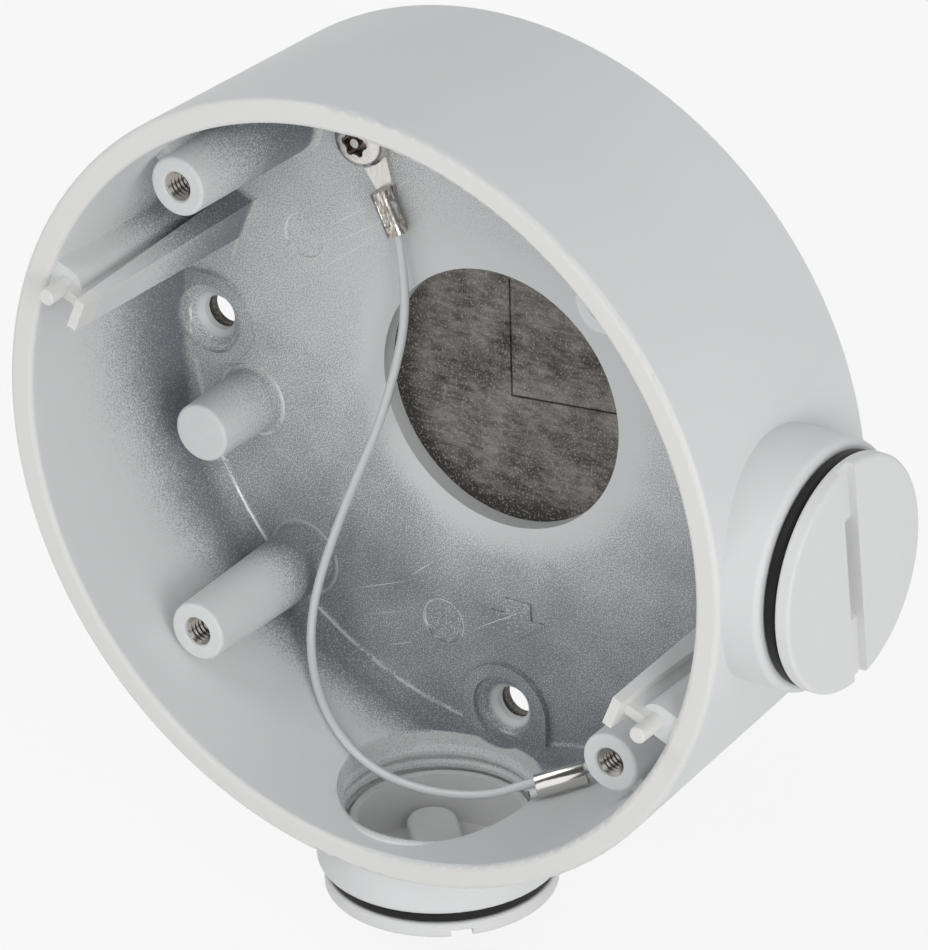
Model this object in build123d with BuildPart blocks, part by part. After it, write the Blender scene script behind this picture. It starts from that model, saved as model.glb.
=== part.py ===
"""Round cast junction box for a dome camera, with two screw plugs and a lanyard.

The box is a shallow cast aluminium cup that is screwed to a wall. Its mouth
faces -Y, its back plane is y = 0 and +Z is up. One threaded port leaves the
wall along +X and one along -Z, each closed by a slotted plug on a flat seal.
A coated steel lanyard is screwed to the floor of the cup by a ring terminal
and ends in a crimped eye. All sizes are in millimetres.
"""
import os
from math import atan2, cos, degrees, pi, radians, sin, tan

from build123d import *

# Housing, from the cast cup to its floor
rim_radius = 53.6  # outer radius at the mouth
back_radius = 52.0  # outer radius at the wall
depth = 36.5  # back plane to the rim face
rim_width = 3.4  # width of the flat rim
floor_thickness = 2.3
wall_draft = 2.3  # degrees, inner side of the wall
gasket_recess = 1.75  # depth of the pocket in the back
gasket_border = 2.4  # back ring left around the pocket
rim_round = 0.7
cable_hole_radius = 18.0
cast_draft = 1.5  # degrees, on posts and tabs
face_round = 0.5  # on the faces of the posts and of the stub

# Four threaded posts for the camera and four screw holes for the wall
fixing_edge = 7.0  # fixing circle to the back's outer edge
post_count = 4
post_radius = 4.0
post_face = 28.1  # back plane to the face of the posts
post_thread_radius = 2.0  # M4
post_thread_mouth = 2.2
post_thread_depth = 18.0
post_rib_width = 2.4
post_rib_drop = 1.6  # the rib ends this much below the post's face
wall_hole_count = 4
wall_hole_radius = 2.4
wall_hole_sink_radius = 3.9
wall_recess_radius = 4.8
wall_recess_depth = 0.75
wall_boss_radius = 6.5
wall_boss_height = 0.95
wall_boss_relief = 2.6  # clearance for the screw head, cut into the wall

# One plain stub on a thin pad
stub_radius = 4.0
stub_face = 15.6
stub_place_radius = 40.65
stub_place_angle = 195.0
stub_pad_radius = 5.0
stub_pad_height = 0.2

# Two locating pins, each with a tab beside it
pin_angle = 157.4
pin_place_radius = 47.65
pin_radius = 1.12
pin_tip = 40.3  # back plane to the tip, past the rim
pin_tip_round = 0.35
pin_shaft_radius = 2.2
pin_shaft_face = 35.7
tab_gap = 4.4  # pin axis to the middle of the tab
tab_width = 4.4
tab_thickness = 1.3
tab_tip = 39.5
tab_web_thickness = 1.4
tab_web_face = 37.4

# Cast marks on the floor
ejector_mark_radius = 3.1
ejector_mark_depth = 0.25
arrow_height = 0.3
arrow_width = 8.4
arrow_length = 5.4
arrow_head_length = 3.1
arrow_shaft_width = 4.0
arrow_centre = (2.05, -31.3)

# Threaded ports, G3/4
port_depth = 19.9  # back plane to the port's axis
port_thread_radius = 13.22
port_thread_pitch = 1.814
port_crest = 0.7  # height left inside the bore for the thread's crests
port_boss_radius = 16.1
port_boss_reach = 6.8  # the cup's back radius to the end face of the boss
port_boss_root = 8.0  # the boss starts this far inside the cup's back radius
port_edge_round = 0.9

# Plugs and seals
plug_head_radius = 15.2
plug_head_thickness = 2.1
plug_head_round = 0.5
plug_clearance = 0.15  # thread crest to plug thread
plug_thread_height = 0.65
plug_ring_share = 0.84  # width of a thread's foot, of one pitch
plug_lead_in = 0.15
plug_reach = 5.4  # boss end face to the plug's inner end
plug_wall = 1.0
plug_slot_width = 2.9
plug_slot_depth = 1.1
plug_pocket_length = 16.0
plug_pocket_foot = 11.2  # length at its bottom
plug_pocket_depth = 3.4
plug_pocket_wall = 1.9
plug_pocket_round = 0.9
seal_thickness = 1.66
seal_width = 2.5
seal_round = 0.55
seal_fit = 0.1  # thread of the plug to the seal's inside
seat_gap = 0.05
side_slot_angle = 5.7  # degrees from +Z towards -Y
bottom_slot_angle = 45.7  # degrees from +X towards -Y

# Foam gasket in the back
gasket_thickness = 1.7
gasket_gap = 0.3
gasket_slit_width = 0.3
gasket_slit_length = 16.5
gasket_slit_corner = (0.2, -0.4)
gasket_slit_tilt = 6.0  # degrees, of the slit across

# Lanyard: screw, ring terminal, cable and crimp sleeve
screw_share = (-0.3968, 0.6626)  # x and z, as shares of the floor's radius
screw_head_radius = 3.8  # M4 button head
screw_head_height = 2.2
screw_socket_radius = 1.95
screw_socket_depth = 1.3
screw_pin_radius = 0.62
screw_shank_radius = 1.9
screw_fit = 0.05
screw_end_gap = 0.2  # the screw ends this far inside the floor's back
tongue_thickness = 0.8
tongue_ring_radius = 3.6
tongue_hole_radius = 2.1
tongue_neck_width = 2.4
tongue_neck_root = 5.6
barrel_start = 7.0  # screw axis to the near end of the barrel
barrel_length = 6.0
barrel_radius = 1.47
barrel_direction = (0.42, -0.9075)  # x and z
barrel_dent_radius = 0.62
cable_radius = 0.6
cable_grip = 3.0  # length of cable inside the barrel
strand_spacing = 1.3
sleeve_wall = 0.3
sleeve_fit = 0.05
sleeve_lead = 2.4  # straight cable before the sleeve
sleeve_lead_out = 1.6  # and after it
cut_end_length = 1.0  # the cable's cut end, past the sleeve

# Derived places
floor_middle = gasket_recess + floor_thickness / 2
floor_front = gasket_recess + floor_thickness
rim_inner_radius = rim_radius - rim_width
floor_inner_radius = rim_inner_radius - (depth - floor_front) * tan(radians(wall_draft))
gasket_pocket_radius = back_radius - gasket_border
wall_middle_radius = (floor_inner_radius + back_radius) / 2
fixing_radius = back_radius - fixing_edge
port_boss_end = back_radius + port_boss_reach
port_crest_radius = port_thread_radius - port_crest
plug_thread_radius = port_crest_radius - plug_clearance
plug_barrel_radius = plug_thread_radius - plug_thread_height
head_back = port_boss_end + seal_thickness + 2 * seat_gap
head_front = head_back + plug_head_thickness
plug_inner_end = port_boss_end - plug_reach
screw_place = tuple(share * floor_inner_radius for share in screw_share)

# Planes: one on the box's back plane looking out of the mouth, and one down each port
mouth = Plane.XZ
side_port = Plane(origin=(0, -port_depth, 0), x_dir=(0, 0, 1), z_dir=(1, 0, 0))
bottom_port = Plane(origin=(0, -port_depth, 0), x_dir=(1, 0, 0), z_dir=(0, 0, -1))


def polar(radius, angle):
    """Sketch point at a radius and an angle in degrees."""
    return (radius * cos(radians(angle)), radius * sin(radians(angle)))


def drafted_base(face_size, height):
    """Size at the floor of a drafted form whose half size at its face is known."""
    return face_size + height * tan(radians(cast_draft))


def in_cup(x, height, z):
    """Point over the floor: x and z as shares of the floor's radius."""
    return Vector(x * floor_inner_radius, -floor_front - height, z * floor_inner_radius)


# Boss of each port, a round collar that grows out of the wall
with BuildPart() as port_bosses:
    for port in (side_port, bottom_port):
        root = back_radius - port_boss_root
        with BuildSketch(port.offset(root)):
            Circle(port_boss_radius)
        extrude(amount=port_boss_end - root)
        end = port_bosses.faces().sort_by(Axis((0, 0, 0), port.z_dir))[-1]
        fillet(end.edges(), port_edge_round)
    with BuildSketch(mouth):
        Circle(wall_middle_radius)
    extrude(amount=depth, mode=Mode.SUBTRACT)

# Housing
with BuildPart() as housing:
    with BuildSketch(Plane.XY) as cup_outside:
        with BuildLine():
            Polyline((0, 0), (back_radius, 0), (rim_radius, -depth), (0, -depth), close=True)
        make_face()
        fillet(cup_outside.vertices().sort_by(Axis.X)[-1], rim_round)
    revolve(axis=Axis.Y)

    # Inside of the cup, the pocket for the gasket and the cable hole
    with BuildSketch(Plane.XY) as cup_inside:
        with BuildLine():
            Polyline(
                (0, -floor_front),
                (floor_inner_radius, -floor_front),
                (rim_inner_radius, -depth),
                (rim_inner_radius, -depth - 5),
                (0, -depth - 5),
                close=True,
            )
        make_face()
        fillet(cup_inside.vertices().group_by(Axis.Y)[-1].sort_by(Axis.X)[-1], rim_round)
    revolve(axis=Axis.Y, mode=Mode.SUBTRACT)
    rim_edges = housing.edges().filter_by(GeomType.CIRCLE).group_by(Axis.Y)[0]
    fillet(rim_edges.sort_by(SortBy.RADIUS)[0], rim_round)
    with BuildSketch(mouth):
        Circle(gasket_pocket_radius)
    extrude(amount=gasket_recess, mode=Mode.SUBTRACT)
    with BuildSketch(mouth):
        Circle(cable_hole_radius)
    extrude(amount=floor_front + 1, mode=Mode.SUBTRACT)

    # Threaded posts, each tied to the wall by a rib, and the plain stub
    upwards = (Align.CENTER, Align.CENTER, Align.MIN)
    post_height = post_face - floor_middle
    stub_height = stub_face - floor_middle
    post_foot = drafted_base(post_radius, post_height)
    stub_foot = drafted_base(stub_radius, stub_height)
    with Locations(mouth.offset(floor_middle)):
        with PolarLocations(fixing_radius, post_count, start_angle=45):
            Cone(post_foot, post_radius, post_height, align=upwards)
        with Locations(polar(stub_place_radius, stub_place_angle)):
            Cone(stub_foot, stub_radius, stub_height, align=upwards)
    with BuildSketch(mouth.offset(floor_middle)):
        with Locations(polar(stub_place_radius, stub_place_angle)):
            Circle(stub_pad_radius)
    extrude(amount=floor_front + stub_pad_height - floor_middle)
    rib_length = wall_middle_radius - fixing_radius
    with BuildSketch(mouth.offset(floor_middle)):
        with PolarLocations(fixing_radius + rib_length / 2, post_count, start_angle=45):
            Rectangle(rib_length, post_rib_width)
    extrude(amount=post_face - post_rib_drop - floor_middle)
    for face_depth in (post_face, stub_face):
        face_edges = housing.edges().filter_by(GeomType.CIRCLE)
        fillet(face_edges.filter_by_position(Axis.Y, -face_depth - 0.01, -face_depth + 0.01), face_round)

    # Locating pins with their tabs, the same twice about the box's axis
    for angle in (pin_angle, pin_angle + 180):
        shaft_length = wall_middle_radius - pin_place_radius
        tab_height = tab_tip - floor_middle
        tab_foot = (drafted_base(tab_thickness / 2, tab_height), drafted_base(tab_width / 2, tab_height))
        with BuildSketch(mouth.offset(floor_middle)):
            with Locations(Location((*polar(pin_place_radius - tab_gap / 2, angle), 0), (0, 0, angle))):
                Rectangle(tab_gap, tab_web_thickness)
        extrude(amount=tab_web_face - floor_middle)
        with BuildSketch(mouth.offset(floor_middle)):
            with Locations(Location((*polar(pin_place_radius - tab_gap, angle), 0), (0, 0, angle))):
                Rectangle(2 * tab_foot[0], 2 * tab_foot[1])
        with BuildSketch(mouth.offset(tab_tip)):
            with Locations(Location((*polar(pin_place_radius - tab_gap, angle), 0), (0, 0, angle))):
                Rectangle(tab_thickness, tab_width)
        loft()
        with BuildSketch(mouth.offset(floor_middle)):
            with Locations(polar(pin_place_radius, angle)):
                Circle(pin_shaft_radius)
            with Locations(Location((*polar(pin_place_radius + shaft_length / 2, angle), 0), (0, 0, angle))):
                Rectangle(shaft_length, 2 * pin_shaft_radius)
        extrude(amount=pin_shaft_face - floor_middle)
        with BuildSketch(mouth.offset(pin_shaft_face - pin_radius)):
            with Locations(polar(pin_place_radius, angle)):
                Circle(pin_radius)
        extrude(amount=pin_tip - pin_shaft_face + pin_radius)
        fillet(housing.faces().sort_by(Axis.Y)[0].edges(), pin_tip_round)

    # Bosses and countersunk holes for the wall screws
    boss_face = floor_front + wall_boss_height
    boss_run = wall_middle_radius - fixing_radius
    with BuildSketch(mouth.offset(floor_middle)):
        with PolarLocations(fixing_radius, wall_hole_count):
            Circle(wall_boss_radius)
        with PolarLocations(fixing_radius + boss_run / 2, wall_hole_count):
            Rectangle(boss_run, 2 * wall_boss_radius)
    extrude(amount=boss_face - floor_middle)
    recess_face = boss_face - wall_recess_depth
    with BuildSketch(mouth.offset(recess_face)):
        with PolarLocations(fixing_radius, wall_hole_count):
            Circle(wall_recess_radius)
    extrude(amount=wall_recess_depth + wall_boss_relief, mode=Mode.SUBTRACT)
    with Locations(mouth.offset(recess_face)):
        with PolarLocations(fixing_radius, wall_hole_count):
            CounterSinkHole(wall_hole_radius, wall_hole_sink_radius, counter_sink_angle=90)

    # Thread bores of the posts, with a small lead-in, and the hole of the lanyard's screw
    with Locations(mouth.offset(post_face)):
        with PolarLocations(fixing_radius, post_count, start_angle=45):
            CounterSinkHole(post_thread_radius, post_thread_mouth, depth=post_thread_depth, counter_sink_angle=90)
    with Locations(mouth.offset(floor_front)):
        with Locations(screw_place):
            Hole(screw_shank_radius + screw_fit)

    # Ejector marks and the arrow that points down
    with BuildSketch(mouth.offset(floor_front - ejector_mark_depth)):
        with Locations(polar(33.7, 152.6), polar(36.4, 254.4)):
            Circle(ejector_mark_radius)
    extrude(amount=ejector_mark_depth, mode=Mode.SUBTRACT)
    with BuildSketch(mouth.offset(floor_front)):
        with Locations(arrow_centre):
            Polygon(
                (-arrow_shaft_width / 2, arrow_length / 2),
                (-arrow_shaft_width / 2, arrow_head_length - arrow_length / 2),
                (-arrow_width / 2, arrow_head_length - arrow_length / 2),
                (0, -arrow_length / 2),
                (arrow_width / 2, arrow_head_length - arrow_length / 2),
                (arrow_shaft_width / 2, arrow_head_length - arrow_length / 2),
                (arrow_shaft_width / 2, arrow_length / 2),
                align=None,
            )
    extrude(amount=arrow_height)

    # The two port bosses and their bores
    add(port_bosses.part)
    for port in (side_port, bottom_port):
        with BuildSketch(port.offset(floor_inner_radius - port_boss_root)):
            Circle(port_thread_radius)
        extrude(amount=port_boss_end, mode=Mode.SUBTRACT)

housing.part.label = "housing"


def make_plug(port, slot_angle, label):
    """Slotted, hollow screw plug, along a port's plane."""
    with BuildPart() as plug:
        with BuildSketch(port.offset(head_back)):
            Circle(plug_head_radius)
        extrude(amount=plug_head_thickness)
        fillet(plug.edges().filter_by(GeomType.CIRCLE), plug_head_round)
        with BuildSketch(port.offset(plug_inner_end)):
            Circle(plug_barrel_radius)
        extrude(amount=head_back - plug_inner_end)

        # Thread, as rings one pitch apart
        ring_half = port_thread_pitch * plug_ring_share / 2
        ring_count = round(plug_reach / port_thread_pitch)
        for i in range(ring_count):
            middle = plug_inner_end + plug_lead_in + ring_half + i * port_thread_pitch
            with BuildSketch(port.offset(middle - ring_half)):
                Circle(plug_barrel_radius)
            with BuildSketch(port.offset(middle)):
                Circle(plug_thread_radius)
            with BuildSketch(port.offset(middle + ring_half)):
                Circle(plug_barrel_radius)
            loft(ruled=True)
        with BuildSketch(port.offset(plug_inner_end - 1)):
            Circle(plug_barrel_radius - plug_wall)
        extrude(amount=head_back - plug_inner_end + 1, mode=Mode.SUBTRACT)

        # Coin slot with its deep pocket, which stands into the hollow as a closed bump
        with BuildSketch(port.offset(head_front - plug_pocket_depth - plug_pocket_wall)):
            with Locations(Location((0, 0, 0), (0, 0, slot_angle))):
                SlotOverall(
                    plug_pocket_length + 2 * plug_pocket_wall,
                    plug_slot_width + 2 * plug_pocket_wall,
                )
        extrude(amount=plug_pocket_depth + plug_pocket_wall - plug_head_thickness)
        bump_top = head_front - plug_pocket_depth - plug_pocket_wall
        bump_faces = plug.faces().filter_by(lambda f: abs((f.center() - port.origin).dot(port.z_dir) - bump_top) < 0.01)
        fillet(bump_faces.edges(), plug_pocket_round)
        with BuildSketch(port.offset(head_front)):
            with Locations(Location((0, 0, 0), (0, 0, slot_angle))):
                Rectangle(2 * plug_head_radius + 2, plug_slot_width)
        extrude(amount=-plug_slot_depth, mode=Mode.SUBTRACT)
        for pocket_depth, pocket_length in ((0, plug_pocket_length), (plug_pocket_depth, plug_pocket_foot)):
            with BuildSketch(port.offset(head_front - pocket_depth)):
                with Locations(Location((0, 0, 0), (0, 0, slot_angle))):
                    Rectangle(pocket_length, plug_slot_width)
        loft(mode=Mode.SUBTRACT)
    plug.part.label = label
    return plug


def make_seal(port, label):
    """Flat rubber ring between a boss and its plug's head."""
    with BuildPart() as seal:
        with BuildSketch(port.offset(port_boss_end + seat_gap)):
            Circle(plug_thread_radius + seal_fit + seal_width)
            Circle(plug_thread_radius + seal_fit, mode=Mode.SUBTRACT)
        extrude(amount=seal_thickness)
        fillet(seal.edges().filter_by(GeomType.CIRCLE).sort_by(SortBy.RADIUS)[-2:], seal_round)
    seal.part.label = label
    return seal


side_plug = make_plug(side_port, side_slot_angle, "side_plug")
side_seal = make_seal(side_port, "side_seal")
bottom_plug = make_plug(bottom_port, bottom_slot_angle, "bottom_plug")
bottom_seal = make_seal(bottom_port, "bottom_seal")

# Foam gasket: it closes the cable hole and is slit so that one quarter folds back
with BuildPart() as back_gasket:
    with BuildSketch(mouth):
        Circle(gasket_pocket_radius - gasket_gap)
        with PolarLocations(fixing_radius, wall_hole_count):
            Circle(wall_hole_radius, mode=Mode.SUBTRACT)
        slit_x, slit_z = gasket_slit_corner
        across_x, across_z = polar(gasket_slit_length / 2, gasket_slit_tilt)
        with Locations(Location((slit_x + across_x, slit_z + across_z, 0), (0, 0, gasket_slit_tilt))):
            Rectangle(gasket_slit_length + gasket_slit_width, gasket_slit_width, mode=Mode.SUBTRACT)
        with Locations((slit_x, slit_z + gasket_slit_length / 2)):
            Rectangle(gasket_slit_width, gasket_slit_length + gasket_slit_width, mode=Mode.SUBTRACT)
    extrude(amount=gasket_thickness)
back_gasket.part.label = "back_gasket"

# Lanyard screw: button head with a six-lobed socket and a pin in its middle
screw_plane = Plane(origin=(screw_place[0], 0, screw_place[1]), x_dir=(1, 0, 0), z_dir=(0, -1, 0))
tongue_front = floor_front + tongue_thickness
with BuildPart() as lanyard_screw:
    with BuildSketch(screw_plane.offset(gasket_recess + screw_end_gap)):
        Circle(screw_shank_radius)
    extrude(amount=tongue_front - gasket_recess - screw_end_gap)
    with BuildSketch(screw_plane.offset(tongue_front)):
        Circle(screw_head_radius)
    extrude(amount=screw_head_height)
    fillet(lanyard_screw.faces().sort_by(-Axis.Y)[-1].edges(), screw_head_height * 0.7)
    with BuildSketch(screw_plane.offset(tongue_front + screw_head_height)):
        Circle(screw_socket_radius * 0.8)
        with PolarLocations(screw_socket_radius * 0.72, 6):
            Circle(screw_socket_radius * 0.28)
        Circle(screw_pin_radius, mode=Mode.SUBTRACT)
    extrude(amount=-screw_socket_depth, mode=Mode.SUBTRACT)
lanyard_screw.part.label = "lanyard_screw"

# Ring terminal: flat ring and neck, then a crimped barrel
barrel_x, barrel_z = barrel_direction
barrel_angle = degrees(atan2(barrel_z, barrel_x))
barrel_rise = floor_front + tongue_thickness / 3 + barrel_radius
barrel_plane = Plane(
    origin=(
        screw_place[0] + barrel_start * barrel_x,
        -barrel_rise,
        screw_place[1] + barrel_start * barrel_z,
    ),
    x_dir=(0, -1, 0),
    z_dir=(barrel_x, 0, barrel_z),
)
with BuildPart() as ring_terminal:
    with BuildSketch(screw_plane.offset(floor_front)):
        Circle(tongue_ring_radius)
        with Locations(Location((0, 0, 0), (0, 0, barrel_angle))):
            Polygon(
                (0, -tongue_neck_root / 2),
                (barrel_start + tongue_thickness, -tongue_neck_width / 2),
                (barrel_start + tongue_thickness, tongue_neck_width / 2),
                (0, tongue_neck_root / 2),
                align=None,
            )
        Circle(tongue_hole_radius, mode=Mode.SUBTRACT)
    extrude(amount=tongue_thickness)
    with BuildSketch(barrel_plane):
        Circle(barrel_radius)
    extrude(amount=barrel_length)
    with BuildSketch(barrel_plane.offset(barrel_length - cable_grip)):
        Circle(cable_radius + sleeve_fit)
    extrude(amount=barrel_length, mode=Mode.SUBTRACT)
    with BuildSketch(barrel_plane.offset(barrel_length * 0.16)):
        with Locations((barrel_radius + barrel_dent_radius * 0.2, 0)):
            Circle(barrel_dent_radius)
    extrude(amount=barrel_length * 0.6, mode=Mode.SUBTRACT)
ring_terminal.part.label = "ring_terminal"

# Lanyard cable: its route, chosen by hand, from the barrel to the sleeve
route_free = [  # x share, height, z share
    (-0.2691, 2.15, 0.3477),
    (-0.2577, 2.45, 0.2659),
    (-0.2608, 2.75, 0.1636),
    (-0.2863, 2.95, 0.0470),
    (-0.3374, 3.35, -0.1288),
    (-0.4070, 3.95, -0.2965),
    (-0.4663, 4.95, -0.4602),
    (-0.5154, 5.95, -0.6217),
    (-0.5276, 7.55, -0.7526),
    (-0.4827, 10.35, -0.8549),
    (-0.3886, 13.95, -0.9183),
    (-0.2659, 17.15, -0.9571),
    (-0.1472, 18.55, -0.9837),
    (-0.0266, 18.35, -0.9939),
    (0.0859, 17.45, -0.9878),
    (0.1759, 16.45, -0.9673),
]
sleeve_start = in_cup(0.2884, 14.35, -0.9295)
sleeve_length = 6.72
sleeve_axis = Vector(5.45, 3.3, 2.15).normalized()
sleeve_end = sleeve_start + sleeve_axis * sleeve_length
sleeve_plane = Plane(origin=sleeve_start, x_dir=(-0.469, 0.215, 0.857), z_dir=sleeve_axis)
strand = sleeve_plane.x_dir * (strand_spacing / 2)  # from the sleeve's middle to the long strand
eye_axis = Vector(0.5, 0.8, 0.33).normalized()
eye_side = Vector(0.606, -0.596, 0.527).normalized()
eye_shape = [  # along the eye and across it
    (3.4, 1.8),
    (6.4, 3.1),
    (8.9, 1.4),
    (8.9, -1.4),
    (6.4, -3.1),
    (3.4, -1.8),
]
route = [barrel_plane.origin + barrel_plane.z_dir * (barrel_length - cable_grip)]
route += [barrel_plane.origin + barrel_plane.z_dir * barrel_length]
route += [in_cup(*point) for point in route_free]
route += [sleeve_start + strand - sleeve_axis * sleeve_lead]
route += [sleeve_end + strand + sleeve_axis * sleeve_lead_out]
route += [sleeve_end + eye_axis * along + eye_side * across for along, across in eye_shape]
route += [sleeve_end - strand + sleeve_axis * sleeve_lead_out]
route += [sleeve_start - strand - sleeve_axis * cut_end_length]


def bend_radii(points):
    """Largest tangent arc at each inner point of a route."""
    radii = []
    for before, corner, after in zip(points, points[1:], points[2:]):
        turn = (corner - before).get_angle(after - corner)
        shorter = min((corner - before).length, (after - corner).length)
        radii.append(0.45 * shorter / tan(radians(turn / 2)))
    return radii


cable_radii = bend_radii(route)
with BuildPart() as lanyard_cable:
    with BuildLine() as cable_path:
        FilletPolyline(*route, radius=cable_radii)
    with BuildSketch(Plane(origin=cable_path.line @ 0, z_dir=cable_path.line % 0)):
        Circle(cable_radius)
    sweep(path=cable_path.line)
lanyard_cable.part.label = "lanyard_cable"

# Crimp sleeve: an oval tube round the cable's two strands
sleeve_bore = 2 * (cable_radius + sleeve_fit)
with BuildPart() as crimp_sleeve:
    with BuildSketch(sleeve_plane):
        SlotOverall(strand_spacing + sleeve_bore + 2 * sleeve_wall, sleeve_bore + 2 * sleeve_wall)
        SlotOverall(strand_spacing + sleeve_bore, sleeve_bore, mode=Mode.SUBTRACT)
    extrude(amount=sleeve_length)
crimp_sleeve.part.label = "crimp_sleeve"

cable_length = cable_path.line.wires()[0].length
cable_volume = pi * cable_radius**2 * cable_length
print("cable length", round(cable_length, 2))
print("cable volume ratio", round(lanyard_cable.part.volume / cable_volume, 4))
print("cable radii", [round(radius, 1) for radius in cable_radii])
print("cable runs", [round((b - a).length, 1) for a, b in zip(route, route[1:])])
print("cable points", [tuple(round(value, 3) for value in point) for point in route])

os.makedirs("parts", exist_ok=True)
export_step(housing.part, "parts/housing.step")
export_step(back_gasket.part, "parts/back_gasket.step")
export_step(side_plug.part, "parts/side_plug.step")
export_step(side_seal.part, "parts/side_seal.step")
export_step(bottom_plug.part, "parts/bottom_plug.step")
export_step(bottom_seal.part, "parts/bottom_seal.step")
export_step(lanyard_screw.part, "parts/lanyard_screw.step")
export_step(ring_terminal.part, "parts/ring_terminal.step")
export_step(lanyard_cable.part, "parts/lanyard_cable.step")
export_step(crimp_sleeve.part, "parts/crimp_sleeve.step")
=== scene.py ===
"""Dresses the cast camera junction box with its finishes, threads, lanyard and light."""
from __future__ import annotations

import logging
import math
from dataclasses import dataclass, field
from enum import Enum

import bpy
from mathutils import Euler, Matrix, Vector


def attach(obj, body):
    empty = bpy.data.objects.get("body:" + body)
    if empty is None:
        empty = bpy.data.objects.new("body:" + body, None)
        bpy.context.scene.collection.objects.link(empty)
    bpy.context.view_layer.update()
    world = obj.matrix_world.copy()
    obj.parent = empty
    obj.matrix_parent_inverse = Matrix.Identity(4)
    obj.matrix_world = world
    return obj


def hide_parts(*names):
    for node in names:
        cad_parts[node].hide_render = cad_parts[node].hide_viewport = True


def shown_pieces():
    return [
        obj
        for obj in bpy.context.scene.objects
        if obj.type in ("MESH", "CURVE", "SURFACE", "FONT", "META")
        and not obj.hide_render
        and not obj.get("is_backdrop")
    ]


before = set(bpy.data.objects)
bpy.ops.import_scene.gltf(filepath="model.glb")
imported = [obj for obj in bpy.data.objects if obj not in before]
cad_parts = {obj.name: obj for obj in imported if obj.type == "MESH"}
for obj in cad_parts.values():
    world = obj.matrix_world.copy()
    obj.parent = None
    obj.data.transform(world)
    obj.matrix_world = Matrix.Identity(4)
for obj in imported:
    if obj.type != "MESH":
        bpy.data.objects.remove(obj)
log = logging.getLogger("junction_box")

MM = 0.001
GRAIN_DEPTH = 0.05 * MM
DOUBLES = 0.001 * MM
DRIFT = (0.3, 0.7)
WHITE = (1.0, 1.0, 1.0)

Axes = bpy.types.bpy_prop_collection
Colour = tuple[float, float, float]
Pair = tuple[float, float]
Socket = bpy.types.NodeSocket


class Port(Enum):
    """A threaded cable port, named by the side of the box that it is on."""

    SIDE = "side"
    BOTTOM = "bottom"


# Hand tools


def rest_hands() -> None:
    """Leaves edit mode and deselects everything."""
    if bpy.context.object and bpy.context.object.mode != "OBJECT":
        bpy.ops.object.mode_set(mode="OBJECT")
    bpy.ops.object.select_all(action="DESELECT")


def pick(piece: bpy.types.Object) -> None:
    """Makes one piece the only selected and the active one.

    Args:
        piece: The piece to work on.
    """
    rest_hands()
    piece.select_set(True)
    bpy.context.view_layer.objects.active = piece


def apply_place(piece: bpy.types.Object) -> None:
    """Puts a piece's place, turn and size in its mesh.

    Args:
        piece: The piece to work on.
    """
    pick(piece)
    bpy.ops.object.transform_apply(location=True, rotation=True, scale=True)


def settle(piece: bpy.types.Object, name: str, angle: float = 35.0) -> None:
    """Puts a piece's place in its mesh, turns its faces out, smooths it and names it.

    Args:
        piece: The piece to settle.
        name: Its name.
        angle: Edges sharper than this many degrees stay sharp.
    """
    apply_place(piece)
    bpy.ops.object.mode_set(mode="EDIT")
    bpy.ops.mesh.select_all(action="SELECT")
    bpy.ops.mesh.remove_doubles(threshold=DOUBLES)
    bpy.ops.mesh.normals_make_consistent(inside=False)
    bpy.ops.object.mode_set(mode="OBJECT")
    bpy.ops.object.shade_smooth_by_angle(angle=math.radians(angle))
    piece.name = name
    piece.data.name = name


def apply_modifier(piece: bpy.types.Object, kind: str, **settings: object) -> None:
    """Adds a modifier with its settings and applies it.

    Args:
        piece: The piece that gets it.
        kind: The modifier's type.
        settings: Values for its properties.
    """
    pick(piece)
    modifier = piece.modifiers.new(kind.title(), kind)
    for key, value in settings.items():
        setattr(modifier, key, value)
    bpy.ops.object.modifier_apply(modifier=modifier.name)


def round_edges(piece: bpy.types.Object, width: float, segments: int) -> None:
    """Rounds a piece's sharp edges.

    Args:
        piece: The piece to work on.
        width: Width of the rounding.
        segments: Faces across it.
    """
    sharp = {"limit_method": "ANGLE", "angle_limit": math.radians(50.0)}
    apply_modifier(piece, "BEVEL", width=width, segments=segments, **sharp)


# Shader graphs


@dataclass(frozen=True)
class Noise:
    """Numbers of one noise.

    Attributes:
        scale: Its scale, per metre.
        detail: How many finer layers it has.
        roughness: Weight of the finer layers.
    """

    scale: float | Socket
    detail: float = 2.0
    roughness: float = 0.5


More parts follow.
